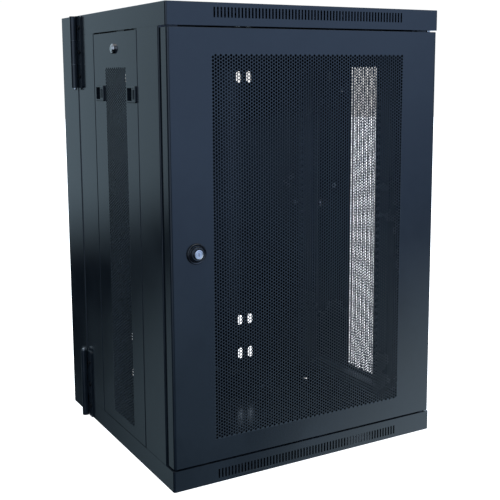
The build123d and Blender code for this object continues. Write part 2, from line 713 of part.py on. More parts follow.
def door_lock_barrel():
    """The door's lock body: a wide dished rosette, a raised collar and a long body."""
    bore = DOOR_PLUG_RADIUS + PIN_CLEARANCE
    barrel = lock_barrel(DOOR_CAM_START - 3, ROSETTE_RADIUS, ROSETTE_PROUD, bore)
    collar = rod("x", (0, 0), ROSETTE_COLLAR_RADIUS, -2 * ROSETTE_PROUD, -ROSETTE_PROUD)
    collar = chamfer(collar.edges().group_by(Axis.X)[0], length=1.5)
    return barrel + collar - rod("x", (0, 0), bore, -2 * ROSETTE_PROUD - 2, 1)


def swing_lock_core():
    """The swing lock's plug and hook. The hook points down when unlocked and turns back over the stud."""
    x0, x1 = SWING_PLUG_END, SWING_PLUG_END + 3
    tip, gap = -HOOK_RADIUS - 9, STUD_RADIUS + HOOK_CLEARANCE
    hook = rod("x", (0, 0), 9, x0, x1) + block(x0, x1, -CAM_WIDTH / 2, CAM_WIDTH / 2, tip, 0)
    channel = rod("x", (0, 0), HOOK_RADIUS + gap, x0 - 1, x1 + 1)
    channel -= rod("x", (0, 0), HOOK_RADIUS - gap, x0 - 1, x1 + 1)
    hook -= channel & block(x0 - 1, x1 + 1, -gap, CAM_WIDTH, tip, 0)
    return lock_plug(-3.0, x0, PLUG_RADIUS) + hook


def swing_lock_stud():
    """The round stud on the wall section that the swing lock's hook turns over."""
    place = (STUD_Y, SWING_LOCK_Z)
    stud = rod("x", place, STUD_RADIUS, HALF - SWING_PLUG_END - 6, HALF - SHEET)
    return stud + rod("x", place, STUD_RADIUS + 2, HALF - SHEET - 2, HALF - SHEET)


# Side panels ---------------------------------------------------------------------------------------


def side_panel(side):
    """A lift-off panel: a skin with returns, a window for its grille, and tabs for the lower bracket."""
    y0, y1 = PANEL_FRONT + PANEL_GAP, PANEL_BACK - PANEL_GAP
    outer, inner = -HALF, -HALF + PANEL_DEPTH
    panel = block(outer, inner, y0, y1, PANEL_BOTTOM, PANEL_TOP)
    for y in (y0, y1):
        panel = rounded(panel, 1.2, upright_at(outer, y))
    low, high = PANEL_BOTTOM + SHEET, PANEL_TOP - SHEET
    panel -= block(outer + SHEET, inner + 1, y0 + SHEET, y1 - SHEET, low, high)
    skin = (outer - 1, outer + SHEET + 1)
    panel -= block(*skin, STRIP_FRONT, STRIP_BACK, STRIP_BOTTOM, STRIP_TOP)
    panel -= rod("x", (PANEL_LOCK_Y, PANEL_LOCK_Z), LOCK_HOLE_RADIUS, *skin)
    half_y, half_z = LATCH_BOX_HALF_LENGTH + LATCH_BOX_GAP, LATCH_BOX_HALF_HEIGHT + LATCH_BOX_GAP
    for y in (REAR_LATCH_Y, FRONT_LATCH_Y):
        panel -= block(*skin, y - half_y, y + half_y, LATCH_Z - half_z, LATCH_Z + half_z)
    tab_z = PANEL_BOTTOM + PANEL_TAB_RISE
    for y in PANEL_TAB_YS:
        y0, y1 = y - PANEL_TAB_HALF_LENGTH, y + PANEL_TAB_HALF_LENGTH
        panel += block(inner - SHEET, PANEL_TAB_TIP, y0, y1, tab_z, tab_z + SHEET)
        panel += block(inner - SHEET, inner, y0, y1, PANEL_BOTTOM, tab_z + SHEET)
    return mirrored(panel, side)


def side_grille(side):
    """The perforated strip of a side panel, as the sheet it is punched in."""
    strip = block(-HALF, -HALF + SHEET, STRIP_FRONT, STRIP_BACK, STRIP_BOTTOM, STRIP_TOP)
    return mirrored(strip, side)


def latch_housing(y):
    """A latch's fixed housing: a rim outside the skin, a box inside it and a slot in the box's back."""
    half_length, half_height = LATCH_LENGTH / 2, LATCH_HEIGHT / 2
    face = -HALF - LATCH_PROUD
    rim = block(face, -HALF, y - half_length, y + half_length, LATCH_Z - half_height, LATCH_Z + half_height)
    rim = fillet(rim.edges().filter_by(Axis.X), radius=2.5)
    rim = fillet(rim.edges().group_by(Axis.X)[0], radius=1.2)
    back = -HALF + LATCH_BOX_DEPTH
    box_y, box_z = LATCH_BOX_HALF_LENGTH, LATCH_BOX_HALF_HEIGHT
    housing = rim + block(-HALF, back, y - box_y, y + box_y, LATCH_Z - box_z, LATCH_Z + box_z)
    hollow_y, hollow_z = box_y - SHEET, box_z - SHEET
    hollow_bottom, hollow_top = LATCH_Z - hollow_z, LATCH_Z + hollow_z
    housing -= block(face - 1, back - SHEET, y - hollow_y, y + hollow_y, hollow_bottom, hollow_top)
    stem_gap_z = LATCH_STEM_HALF_HEIGHT + 0.5
    return housing - block(back - 3, back + 1, y - 14.6, y + 9, LATCH_Z - stem_gap_z, LATCH_Z + stem_gap_z)


def latch_slide(y):
    """A latch's sliding thumb piece: a ribbed pad, a stem through the housing and a foot behind the frame."""
    pad_y0, pad_y1 = y - 17.2, y - 2.5
    face, pad_back = -HALF - LATCH_PROUD, -HALF + 7.5
    pad = block(face + 0.5, pad_back, pad_y0, pad_y1, LATCH_Z - LATCH_PAD_HALF, LATCH_Z + LATCH_PAD_HALF)
    for i in range(LATCH_RIBS):
        rib_y = pad_y0 + 4 + LATCH_RIB_PITCH * i
        rib_z0, rib_z1 = LATCH_Z - LATCH_RIB_HALF, LATCH_Z + LATCH_RIB_HALF
        pad += block(face - 0.7, face + 0.6, rib_y - 0.8, rib_y + 0.8, rib_z0, rib_z1)
    foot_outer = -LANDING_X + SHEET + 0.7
    foot_inner = foot_outer + 3
    z0, z1 = LATCH_Z - LATCH_STEM_HALF_HEIGHT, LATCH_Z + LATCH_STEM_HALF_HEIGHT
    pad += block(pad_back, foot_inner, y - 14, y - 9, z0, z1)
    return pad + block(foot_outer, foot_inner, y - 14, y + 3.4, z0, z1)


# Assembly ------------------------------------------------------------------------------------------


def group(solids):
    """Several separate solids that share one node."""
    return Compound(children=[solid if isinstance(solid, Solid) else solid.solids()[0] for solid in solids])


def assembly():
    """Every node of the cabinet, by name."""
    nodes = {
        "top_cap": cap(True),
        "bottom_cap": cap(False),
        "left_fan_cover": cover_plate(-FAN_X, FAN_Y, FAN_PLATE, FAN_PLATE, True),
        "right_fan_cover": cover_plate(FAN_X, FAN_Y, FAN_PLATE, FAN_PLATE, True),
        "cover_screws": group([cover_screw(*place) for place in cover_screw_places()]),
        "wall_back_plate": wall_back_plate(),
        "wall_top": wall_end(True),
        "wall_bottom": wall_end(False),
        "swing_lock_stud": swing_lock_stud(),
        "swing_lock_barrel": place_swing_lock(
            lock_barrel(SWING_PLUG_END - 1, 12.0, 2.0, PLUG_RADIUS + PIN_CLEARANCE)
        ),
        "swing_lock_core": place_swing_lock(swing_lock_core()),
        "door_frame": door_frame(),
        "door_grille": door_grille(),
        "lower_door_pin": lower_door_pin(),
        "upper_door_pin": upper_door_pin(),
        "door_lock_barrel": place_door_lock(door_lock_barrel()),
        "door_lock_plug": place_door_lock(lock_plug(-11.0, DOOR_CAM_START, DOOR_PLUG_RADIUS)),
        "door_lock_cam": place_door_lock(lock_cam(DOOR_CAM_START, CAM_LENGTH, "-z")),
    }
    cable_plate = (CABLE_WIDTH + 2 * CABLE_PLATE_MARGIN, CABLE_DEPTH + 2 * CABLE_PLATE_MARGIN)
    nodes["top_cable_cover"] = cover_plate(0, CABLE_Y, *cable_plate, True)
    nodes["bottom_cable_cover"] = cover_plate(0, CABLE_Y, *cable_plate, False)
    for level, is_top in (("upper", True), ("lower", False)):
        nodes[f"{level}_hinge_wall_leaf"] = hinge_leaf(is_top, True)
        nodes[f"{level}_hinge_body_leaf"] = hinge_leaf(is_top, False)
        nodes[f"{level}_hinge_pin"] = hinge_pin(is_top)
    for owner, on_wall in (("wall", True), ("body", False)):
        nodes[f"hinge_{owner}_screws"] = group(
            [leaf_screw(is_top, on_wall, z) for is_top in (True, False) for z in leaf_screw_zs(is_top)]
        )
    for name, side in (("left", LEFT), ("right", RIGHT)):
        nodes[f"{name}_front_post"] = front_post(side)
        nodes[f"{name}_rear_post"] = rear_post(side)
        nodes[f"wall_{name}_side"] = wall_side(side)
        nodes[f"{name}_front_rail"] = rack_rail(side, True)
        nodes[f"{name}_rear_rail"] = rack_rail(side, False)
        nodes[f"{name}_upper_bracket"] = depth_bracket(side, True)
        nodes[f"{name}_lower_bracket"] = depth_bracket(side, False)
        nodes[f"{name}_door_stiffener"] = door_stiffener(side)
        nodes[f"{name}_side_panel"] = side_panel(side)
        nodes[f"{name}_side_grille"] = side_grille(side)
        nodes[f"{name}_latch_housings"] = group(
            [mirrored(latch_housing(y), side) for y in (REAR_LATCH_Y, FRONT_LATCH_Y)]
        )
        nodes[f"{name}_rear_latch_slide"] = mirrored(latch_slide(REAR_LATCH_Y), side)
        nodes[f"{name}_front_latch_slide"] = mirrored(latch_slide(FRONT_LATCH_Y), side)
        barrel = lock_barrel(PANEL_PLUG_END - 0.5, LOCK_BODY_RADIUS, 5.0, PLUG_RADIUS + PIN_CLEARANCE)
        nodes[f"{name}_panel_lock_barrel"] = place_panel_lock(barrel, side)
        nodes[f"{name}_panel_lock_core"] = place_panel_lock(panel_lock_core(), side)
    sides = (LEFT, RIGHT)
    nodes["rail_bolts"] = group(
        [rail_bolt(side, front, z) for side in sides for front in (True, False) for z in bracket_middles()]
    )
    nodes["bracket_screws"] = group(
        [bracket_screw(side, y, top) for side in sides for y in BRACKET_SCREW_YS for top in (True, False)]
    )
    return nodes


def main():
    os.makedirs("parts", exist_ok=True)
    for name, shape in assembly().items():
        export_step(shape, f"parts/{name}.step")


main()
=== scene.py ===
"""A swing-out wall cabinet for rack equipment: its finishes, perforated sheets, door lock and pin spring.

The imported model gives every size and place. All lengths are in metres, +Z is up and the door faces -Y.
"""

import json
import math

import bmesh
import bpy
from mathutils import Matrix, Vector


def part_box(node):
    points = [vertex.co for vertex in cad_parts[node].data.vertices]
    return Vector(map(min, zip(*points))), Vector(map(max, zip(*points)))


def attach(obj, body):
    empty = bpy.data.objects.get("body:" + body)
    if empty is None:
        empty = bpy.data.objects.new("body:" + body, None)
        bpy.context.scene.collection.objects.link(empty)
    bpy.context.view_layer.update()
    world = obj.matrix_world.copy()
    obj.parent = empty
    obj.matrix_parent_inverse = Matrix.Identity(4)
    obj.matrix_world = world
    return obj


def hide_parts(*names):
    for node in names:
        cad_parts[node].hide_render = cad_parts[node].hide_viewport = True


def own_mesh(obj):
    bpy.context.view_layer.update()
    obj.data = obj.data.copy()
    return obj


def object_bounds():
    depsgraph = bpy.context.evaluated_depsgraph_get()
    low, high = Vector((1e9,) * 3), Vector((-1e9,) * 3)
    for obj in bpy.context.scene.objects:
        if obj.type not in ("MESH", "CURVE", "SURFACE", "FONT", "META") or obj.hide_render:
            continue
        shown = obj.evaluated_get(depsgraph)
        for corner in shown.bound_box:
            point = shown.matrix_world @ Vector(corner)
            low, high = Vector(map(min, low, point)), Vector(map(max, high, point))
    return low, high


bl_info = {
    "name": "Swing-out Rack Cabinet",
    "version": (1, 0, 0),
    "blender": (4, 5, 0),
    "location": "View3D > Sidebar > Rack Cabinet",
    "description": "Builds the perforated sheets, door lock, pin spring and finishes of a cabinet",
    "category": "Object",
}

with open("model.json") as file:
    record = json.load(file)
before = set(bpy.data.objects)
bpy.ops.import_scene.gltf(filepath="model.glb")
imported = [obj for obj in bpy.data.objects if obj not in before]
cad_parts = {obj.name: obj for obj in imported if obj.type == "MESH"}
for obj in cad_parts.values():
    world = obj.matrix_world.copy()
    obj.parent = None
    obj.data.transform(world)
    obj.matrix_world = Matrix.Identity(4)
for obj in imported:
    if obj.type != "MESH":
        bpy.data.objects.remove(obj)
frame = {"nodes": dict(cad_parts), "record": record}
CAD_LOW, CAD_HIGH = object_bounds()
BODY_OF = {node: body for body, nodes in frame["record"]["behaviour"]["bodies"].items() for node in nodes}
SLOT_OF = {part["node"]: part["material_slot"] for part in frame["record"]["subparts"]}
SIDES = {"left": -1, "right": 1}
UP = Vector((0, 0, 1))
FRONT = Vector((0, -1, 0))

# The stage. Each patch of soft light has a direction, an inner and an outer width in degrees, a colour
# and a strength. The camera has its turn, tilt and roll in degrees.
FLOOR_RADIUS = 14.0
WHITE_ROOM = 1.3
FLOOR_GLOW = 1.0
STUDIO_PATCHES = (
    ((0.0, 0.0, 1.0), 20.0, 100.0, (0.80, 0.95, 1.10), 0.35),
    ((0.39, -0.88, 0.27), 15.0, 38.0, (0.70, 1.0, 1.60), 0.90),
    ((0.69, -0.58, -0.44), 5.0, 19.0, (0.80, 1.0, 1.14), 1.7),
    ((0.31, -0.84, -0.44), 6.0, 18.0, (0.70, 1.0, 1.25), 0.25),
    ((-0.26, 0.93, 0.26), 22.0, 27.5, (0.74, 1.0, 1.18), 0.49),
    ((-0.50, 0.79, -0.36), 7.0, 13.0, (0.72, 1.0, 1.16), 0.30),
    ((-0.72, -0.64, 0.26), 14.0, 42.0, (0.80, 1.0, 1.30), 0.9),
    ((0.85, 0.46, 0.26), 16.0, 58.0, (0.80, 1.0, 1.25), 0.9),
)
CAMERA_LENS = 64.39
CAMERA_SHIFT = (0.0124, -0.09)
CAMERA_ANGLES = (-29.39, 8.335, -0.383)
CAMERA_PLACE = Vector((-0.9407, -1.6782, 0.7563))


# Sizes and colours that a user may change -----------------------------------------------------------


def length(name, description, default, smallest=0.0):
    """A length property in metres."""
    return bpy.props.FloatProperty(
        name=name, description=description, default=default, min=smallest, precision=5, unit="LENGTH"
    )


def share(name, description, default):
    """A property from 0 to 1."""
    return bpy.props.FloatProperty(
        name=name, description=description, default=default, min=0.0, max=1.0, subtype="FACTOR"
    )


def colour(name, description, default):
    """A colour property in linear red, green and blue."""
    return bpy.props.FloatVectorProperty(
        name=name, description=description, default=default, min=0.0, max=1.0, size=3, subtype="COLOR"
    )


class CabinetSheetSizes(bpy.types.PropertyGroup):
    """The perforated sheets of the door and the side panels."""

    pitch: length("Hole pitch", "Distance between neighbouring holes in a column", 0.00605, 0.002)
    hole: share("Hole share", "Hole width as a share of the pitch", 0.735)
    thickness: length("Sheet", "Thickness of the perforated sheet", 0.0012, 0.0002)
    margin: length("Plain edge", "Unpunched border of each perforated field", 0.0008)


class CabinetLockSizes(bpy.types.PropertyGroup):
    """The door's cylinder lock."""

    rim: length("Face ring", "Width of the polished ring round the key face", 0.0014)
    groove: length("Groove", "Depth of the groove inside the ring", 0.0007)
    slot_length: length("Key slot", "Length of the key slot", 0.0066)
    slot_width: length("Key slot width", "Width of the key slot", 0.0017)
    dish: length("Dish", "Depth of the rosette's dish below its rim", 0.0016)


class CabinetSpringSizes(bpy.types.PropertyGroup):
    """The coil spring on the door's upper pin."""

    wire: length("Wire", "Diameter of the spring wire", 0.0009, 0.0002)
    clearance: length("Clearance", "Gap between the pin and the spring", 0.0006)
    turns: bpy.props.IntProperty(name="Turns", description="Number of turns", default=9, min=2, max=40)


class CabinetColours(bpy.types.PropertyGroup):
    """The colours of the finishes."""

    coat: colour("Powder coat", "Blue-black powder coat of the sheets", (0.0130, 0.0180, 0.0240))
    faded: colour("Rubbed coat", "Powder coat where hands have rubbed it", (0.0180, 0.0240, 0.0310))
    # The mesh colour is a lighter copy of the same powder coat. It is painted light, so that the thin webs
    # read brighter than the coat.
    painted_lit_web: colour("Mesh", "Powder coat of the perforated sheets", (0.0260, 0.0340, 0.0410))
    dust: colour("Dust", "Dust that has settled on level faces", (0.16, 0.155, 0.145))
    plastic: colour("Latch plastic", "Moulded nylon of the latches", (0.0130, 0.0180, 0.0240))
    zinc: colour("Zinc", "Bright zinc plate of pins, bolts and cams", (0.60, 0.61, 0.63))
    chrome: colour("Nickel", "Bright nickel plate of the lock faces", (0.78, 0.74, 0.73))
    oxide: colour("Black oxide", "Black oxide of the hinge screws", (0.018, 0.018, 0.020))


def settings():
    """The scene's property groups, by short name."""
    scene = bpy.context.scene
    return {name: getattr(scene, f"cabinet_{name}") for name in GROUP_CLASSES}


# Shared surface effects ------------------------------------------------------------------------------


def new_group(name, inputs, outputs):
    """An empty shader node group with float inputs and outputs, and its two end nodes."""
    tree = bpy.data.node_groups.new(name, "ShaderNodeTree")
    for label, default in inputs:
        socket = tree.interface.new_socket(label, in_out="INPUT", socket_type="NodeSocketFloat")
        socket.default_value = default
    for label in outputs:
        tree.interface.new_socket(label, in_out="OUTPUT", socket_type="NodeSocketFloat")
    return tree, tree.nodes.new("NodeGroupInput"), tree.nodes.new("NodeGroupOutput")


def object_noise(tree, scale_from, detail, roughness=0.5):
    """A noise on Object coordinates whose scale comes from a socket."""
    place = tree.nodes.new("ShaderNodeTexCoord")
    noise = tree.nodes.new("ShaderNodeTexNoise")
    noise.inputs["Detail"].default_value = detail
    noise.inputs["Roughness"].default_value = roughness
    tree.links.new(place.outputs["Object"], noise.inputs["Vector"])
    tree.links.new(scale_from, noise.inputs["Scale"])
    return noise


def map_range(tree, value, from_low, from_high, to_low=0.0, to_high=1.0, smooth=True):
    """A Map Range node on a value."""
    node = tree.nodes.new("ShaderNodeMapRange")
    node.interpolation_type = "SMOOTHSTEP" if smooth else "LINEAR"
    for label, number in (
        ("From Min", from_low), ("From Max", from_high), ("To Min", to_low), ("To Max", to_high)
    ):
        node.inputs[label].default_value = number
    tree.links.new(value, node.inputs["Value"])
    return node.outputs["Result"]


def multiply(tree, first, second):
    """The product of two values."""
    node = tree.nodes.new("ShaderNodeMath")
    node.operation = "MULTIPLY"
    tree.links.new(first, node.inputs[0])
    tree.links.new(second, node.inputs[1])
    return node.outputs["Value"]


def orange_peel_group():
    """The fine waviness that powder coat sets with."""
    tree, start, end = new_group("orange_peel", [("Scale", 700.0)], ["Height"])
    noise = object_noise(tree, start.outputs["Scale"], 1.5)
    tree.links.new(noise.outputs["Fac"], end.inputs["Height"])
    return tree


def handling_group():
    """Broad soft patches where a surface has been wiped and handled."""
    tree, start, end = new_group("handling", [("Scale", 6.0)], ["Mask"])
    noise = object_noise(tree, start.outputs["Scale"], 4.0, 0.6)
    tree.links.new(map_range(tree, noise.outputs["Fac"], 0.38, 0.66), end.inputs["Mask"])
    return tree


def dust_group():
    """Dust that lies on faces that look upwards, in uneven patches."""
    tree, start, end = new_group("settled_dust", [("Scale", 18.0)], ["Mask"])
    noise = object_noise(tree, start.outputs["Scale"], 5.0, 0.65)
    patches = map_range(tree, noise.outputs["Fac"], 0.40, 0.75)
    surface = tree.nodes.new("ShaderNodeNewGeometry")
    parts = tree.nodes.new("ShaderNodeSeparateXYZ")
    tree.links.new(surface.outputs["Normal"], parts.inputs["Vector"])
    level = map_range(tree, parts.outputs["Z"], 0.75, 0.98)
    tree.links.new(multiply(tree, patches, level), end.inputs["Mask"])
    return tree


def brushing_group():
    """Fine scratches along one direction, for plated metal."""
    tree, start, end = new_group("brushing", [("Scale", 900.0)], ["Height"])
    place = tree.nodes.new("ShaderNodeTexCoord")
    stretch = tree.nodes.new("ShaderNodeMapping")
    stretch.inputs["Scale"].default_value = (1.0, 1.0, 0.06)
    noise = tree.nodes.new("ShaderNodeTexNoise")
    noise.inputs["Detail"].default_value = 2.0
    tree.links.new(place.outputs["Object"], stretch.inputs["Vector"])
    tree.links.new(stretch.outputs["Vector"], noise.inputs["Vector"])
    tree.links.new(start.outputs["Scale"], noise.inputs["Scale"])
    tree.links.new(noise.outputs["Fac"], end.inputs["Height"])
    return tree


def placed(tree, group_name, scale):
    """A shared group placed in a material with its own scale."""
    node = tree.nodes.new("ShaderNodeGroup")
    node.node_tree = bpy.data.node_groups[group_name]
    node.inputs["Scale"].default_value = scale
    return node


def mixed(tree, factor, first, second):
    """A colour mix of two colours, each a socket or three numbers."""
    node = tree.nodes.new("ShaderNodeMix")
    node.data_type = "RGBA"
    tree.links.new(factor, node.inputs["Factor"])
    for label, value in (("A", first), ("B", second)):
        socket = next(s for s in node.inputs if s.name == label and s.type == "RGBA")
        if isinstance(value, bpy.types.NodeSocket):
            tree.links.new(value, socket)
        else:
            socket.default_value = (*value, 1.0)
    return next(s for s in node.outputs if s.type == "RGBA")


def bumped(tree, height, strength, distance, shader):
    """Feeds a height to the shader's Normal through a Bump node."""
    bump = tree.nodes.new("ShaderNodeBump")
    bump.inputs["Strength"].default_value = strength
    bump.inputs["Distance"].default_value = distance
    tree.links.new(height, bump.inputs["Height"])
    tree.links.new(bump.outputs["Normal"], shader.inputs["Normal"])


def new_material(name):
    """A node material and its Principled shader."""
    material = bpy.data.materials.new(name)
    material.use_nodes = True
    return material, material.node_tree, material.node_tree.nodes["Principled BSDF"]


def painted_steel(name, colours, roughness, peel_scale, peel_depth, marks_scale=6.0):
    """Powder coat: soft patches of colour and gloss, fine orange peel, and dust on level faces."""
    material, tree, shader = new_material(name)
    shader.inputs["Specular IOR Level"].default_value = 0.5
    marks = placed(tree, "handling", marks_scale)
    dust = placed(tree, "settled_dust", 18.0)
    peel = placed(tree, "orange_peel", peel_scale)
    thin_dust = map_range(tree, dust.outputs["Mask"], 0.0, 1.0, 0.0, 0.22, smooth=False)
    coat = mixed(tree, marks.outputs["Mask"], colours[0], colours[1])
    tree.links.new(mixed(tree, thin_dust, coat, colours[2]), shader.inputs["Base Color"])
    gloss = map_range(tree, marks.outputs["Mask"], 0.0, 1.0, roughness - 0.01, roughness + 0.03, smooth=False)
    tree.links.new(gloss, shader.inputs["Roughness"])
    bumped(tree, peel.outputs["Height"], 0.35, peel_depth, shader)
    return material


def moulded_plastic(name, colours, roughness):
    """Spark-textured nylon with rubbed high spots."""
    material, tree, shader = new_material(name)
    marks = placed(tree, "handling", 60.0)
    texture = placed(tree, "orange_peel", 2600.0)
    tree.links.new(mixed(tree, marks.outputs["Mask"], colours[0], colours[1]), shader.inputs["Base Color"])
    gloss = map_range(tree, marks.outputs["Mask"], 0.0, 1.0, roughness + 0.03, roughness - 0.02, smooth=False)
    tree.links.new(gloss, shader.inputs["Roughness"])
    bumped(tree, texture.outputs["Height"], 0.5, 0.00005, shader)
    return material


def plated_metal(name, tint, roughness, brush_scale, brush_depth):
    """Plated metal with fine scratches and uneven brightness."""
    material, tree, shader = new_material(name)
    shader.inputs["Metallic"].default_value = 1.0
    marks = placed(tree, "handling", 90.0)
    scratches = placed(tree, "brushing", brush_scale)
    dull = [part * 0.78 for part in tint]
    tree.links.new(mixed(tree, marks.outputs["Mask"], tint, dull), shader.inputs["Base Color"])
    gloss = map_range(tree, marks.outputs["Mask"], 0.0, 1.0, roughness, roughness + 0.10, smooth=False)
    tree.links.new(gloss, shader.inputs["Roughness"])
    bumped(tree, scratches.outputs["Height"], 0.3, brush_depth, shader)
    return material


def make_finishes():
    """Every material of the record, by slot name."""
    for build in (orange_peel_group, handling_group, dust_group, brushing_group):
        build()
    colours = settings()["colours"]
    coat, rubbed, dust = tuple(colours.coat), tuple(colours.faded), tuple(colours.dust)
    painted_lit_web, plastic = tuple(colours.painted_lit_web), tuple(colours.plastic)
    oxide = tuple(colours.oxide)
    painted_steel("black_powder_coat", (coat, rubbed, dust), 0.13, 700.0, 0.00001)
    # The perforated sheets take the lighter mesh colour, which is painted light on the same powder coat.
    painted_steel("black_grille", (painted_lit_web, rubbed, dust), 0.26, 900.0, 0.00002)
    painted_steel("black_rail", (oxide, coat, dust), 0.42, 800.0, 0.00004, 14.0)
    painted_steel("black_hinge", (coat, rubbed, dust), 0.15, 900.0, 0.00001, 30.0)
    painted_steel("black_rosette", (oxide, coat, dust), 0.17, 1500.0, 0.00001, 60.0)
    moulded_plastic("black_plastic", (plastic, rubbed), 0.16)
    plated_metal("black_screw", oxide, 0.38, 1200.0, 0.00002)
    plated_metal("zinc_plate", tuple(colours.zinc), 0.26, 900.0, 0.00002)
    plated_metal("lock_chrome", tuple(colours.chrome), 0.12, 1600.0, 0.00001)


def finish(slot):
    """The material of a slot."""
    return bpy.data.materials[slot]


# Making pieces ---------------------------------------------------------------------------------------


def mm(value):
    """Millimetres as metres."""
    return value / 1000


def facing(normal, centre):
    """The matrix that stands a piece drawn in the XY plane upright, its +Z along a level normal."""
    across = UP.cross(normal)
    turn = Matrix((across, UP, normal)).transposed().to_4x4()
    return Matrix.Translation(centre) @ turn


def add_piece(name, bm, like, replaced=(), smooth_under=None, slot=None):
    """A new object from a bmesh, riding on the body of the CAD node that it is like."""
    bmesh.ops.recalc_face_normals(bm, faces=bm.faces)
    mesh = bpy.data.meshes.new(name)
    bm.to_mesh(mesh)
    bm.free()
    if smooth_under is not None:
        mesh.shade_smooth()
        mesh.set_sharp_from_angle(angle=smooth_under)
    piece = bpy.data.objects.new(name, mesh)
    bpy.context.scene.collection.objects.link(piece)
    slot = slot or SLOT_OF[like]
    mesh.materials.append(finish(slot))
    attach(piece, BODY_OF[like])
    if replaced:
        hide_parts(*replaced)
    return piece


def trim(bm, point, normal):
    """Cuts away what lies beyond a plane."""
    geometry = bm.verts[:] + bm.edges[:] + bm.faces[:]
    bmesh.ops.bisect_plane(bm, geom=geometry, plane_co=point, plane_no=normal, clear_outer=True)


def repeat(bm, step, count):
    """Repeats all of a bmesh along a step, count times in all."""
    geometry = bm.verts[:] + bm.edges[:] + bm.faces[:]
    bmesh.ops.spin(
        bm, geom=geometry, cent=(0, 0, 0), axis=UP, dvec=step, angle=0.0, steps=count - 1, use_duplicate=True
    )


def honeycomb(width, height, sizes):
    """A flat sheet in the XY plane, with staggered six-sided holes that fill it to its plain edge."""
    pitch = sizes.pitch
    column = pitch * math.sqrt(3) / 2
    reach = pitch * sizes.hole / math.sqrt(3)
    rows = round((height - 2 * sizes.margin) / pitch - sizes.hole + 0.5)
    pairs = round(((width - 2 * sizes.margin - 2 * reach) / column + 1) / 2)
    field_width = (2 * pairs - 1) * column + 2 * reach
    field_height = (rows - 0.5 + sizes.hole) * pitch
    bm = cell_sheet(pitch, rows + 4, pairs + 2)
    punch(bm, field_width / 2, field_height / 2, sizes)
    fit = ((width - 2 * sizes.margin) / field_width, (height - 2 * sizes.margin) / field_height, 1)
    bmesh.ops.scale(bm, vec=fit, verts=bm.verts)
    for sign in (-1, 1):
        trim(bm, (sign * width / 2, 0, 0), (sign, 0, 0))
        trim(bm, (0, sign * height / 2, 0), (0, sign, 0))
    return bm


def cell_sheet(pitch, rows, pairs):
    """Six-sided cells in staggered columns, centred on the origin."""
    column = pitch * math.sqrt(3) / 2
    bm = bmesh.new()
    quarter = Matrix.Rotation(math.pi / 2, 4, "Z")
    bmesh.ops.create_circle(bm, cap_ends=True, segments=6, radius=pitch / math.sqrt(3), matrix=quarter)
    repeat(bm, (0, pitch, 0), rows)
    copy = bmesh.ops.duplicate(bm, geom=bm.verts[:] + bm.edges[:] + bm.faces[:])
    moved = [item for item in copy["geom"] if isinstance(item, bmesh.types.BMVert)]
    bmesh.ops.translate(bm, vec=(column, pitch / 2, 0), verts=moved)
    repeat(bm, (2 * column, 0, 0), pairs)
    bmesh.ops.remove_doubles(bm, verts=bm.verts, dist=pitch / 100)
    middle = Vector(((2 * pairs - 1) * column / 2, (rows - 0.5) * pitch / 2, 0))
    bmesh.ops.translate(bm, vec=-middle, verts=bm.verts)
    return bm


def punch(bm, half_width, half_height, sizes):
    """Opens a hole in each cell whose middle lies inside the field."""
    cells = []
    for cell in bm.faces:
        centre = cell.calc_center_median()
        if abs(centre.x) < half_width and abs(centre.y) < half_height:
            cells.append(cell)
    bmesh.ops.inset_individual(bm, faces=cells, thickness=sizes.pitch * (1 - sizes.hole) / 2)
    bmesh.ops.delete(bm, geom=cells, context="FACES")


def thickened(bm, thickness):
    """Gives a flat sheet its thickness, away from its face."""
    bmesh.ops.recalc_face_normals(bm, faces=bm.faces)
    if sum(face.normal.z for face in bm.faces) < 0:
        bmesh.ops.reverse_faces(bm, faces=bm.faces)
    bmesh.ops.solidify(bm, geom=bm.faces[:], thickness=thickness)
    over = max(vertex.co.z for vertex in bm.verts)
    bmesh.ops.translate(bm, vec=(0, 0, -over), verts=bm.verts)
    return bm


def lathe(profile, segments):
    """A solid turned about Z from (radius, height) points that start and end on the axis."""
    bm = bmesh.new()
    points = [bm.verts.new((radius, 0, height)) for radius, height in profile]
    lines = [bm.edges.new(pair) for pair in zip(points, points[1:])]
    bmesh.ops.spin(
        bm, geom=points + lines, cent=(0, 0, 0), axis=UP, dvec=(0, 0, 0),
        angle=2 * math.pi, steps=segments, use_merge=True,
    )
    bmesh.ops.remove_doubles(bm, verts=bm.verts, dist=1e-7)
    return bm


def brick(bm, low, high):
    """Adds a box between two corners."""
    low, high = Vector(low), Vector(high)
    made = bmesh.ops.create_cube(bm, size=1.0)["verts"]
    bmesh.ops.scale(bm, vec=high - low, verts=made)
    bmesh.ops.translate(bm, vec=(low + high) / 2, verts=made)


def cut_out(piece, cutter):
    """Takes a cutter's shape out of a piece for good."""
    tool = bpy.data.objects.new("cutter", bpy.data.meshes.new("cutter"))
    cutter.to_mesh(tool.data)
    cutter.free()
    bpy.context.scene.collection.objects.link(tool)
    modifier = piece.modifiers.new("cut", "BOOLEAN")
    modifier.operation = "DIFFERENCE"
    modifier.solver = "EXACT"
    modifier.object = tool
    graph = bpy.context.evaluated_depsgraph_get()
    result = bpy.data.meshes.new_from_object(piece.evaluated_get(graph))
    piece.modifiers.clear()
    piece.data = result
    bpy.data.objects.remove(tool)


# Operators -------------------------------------------------------------------------------------------


class CABINET_OT_finishes(bpy.types.Operator):
    """Make the finishes and give each CAD node the one that the record names"""

    bl_idname = "cabinet.finishes"
    bl_label = "Apply Finishes"

    def execute(self, context):
        # The frame's plain materials hold the names that the finishes need
        for plain in list(bpy.data.materials):
            bpy.data.materials.remove(plain)
        make_finishes()
        for node, obj in frame["nodes"].items():
            material = finish(SLOT_OF[node])
            if not obj.material_slots:
                obj.data.materials.append(material)
            for index in range(len(obj.material_slots)):
                obj.material_slots[index].material = material
        return {"FINISHED"}


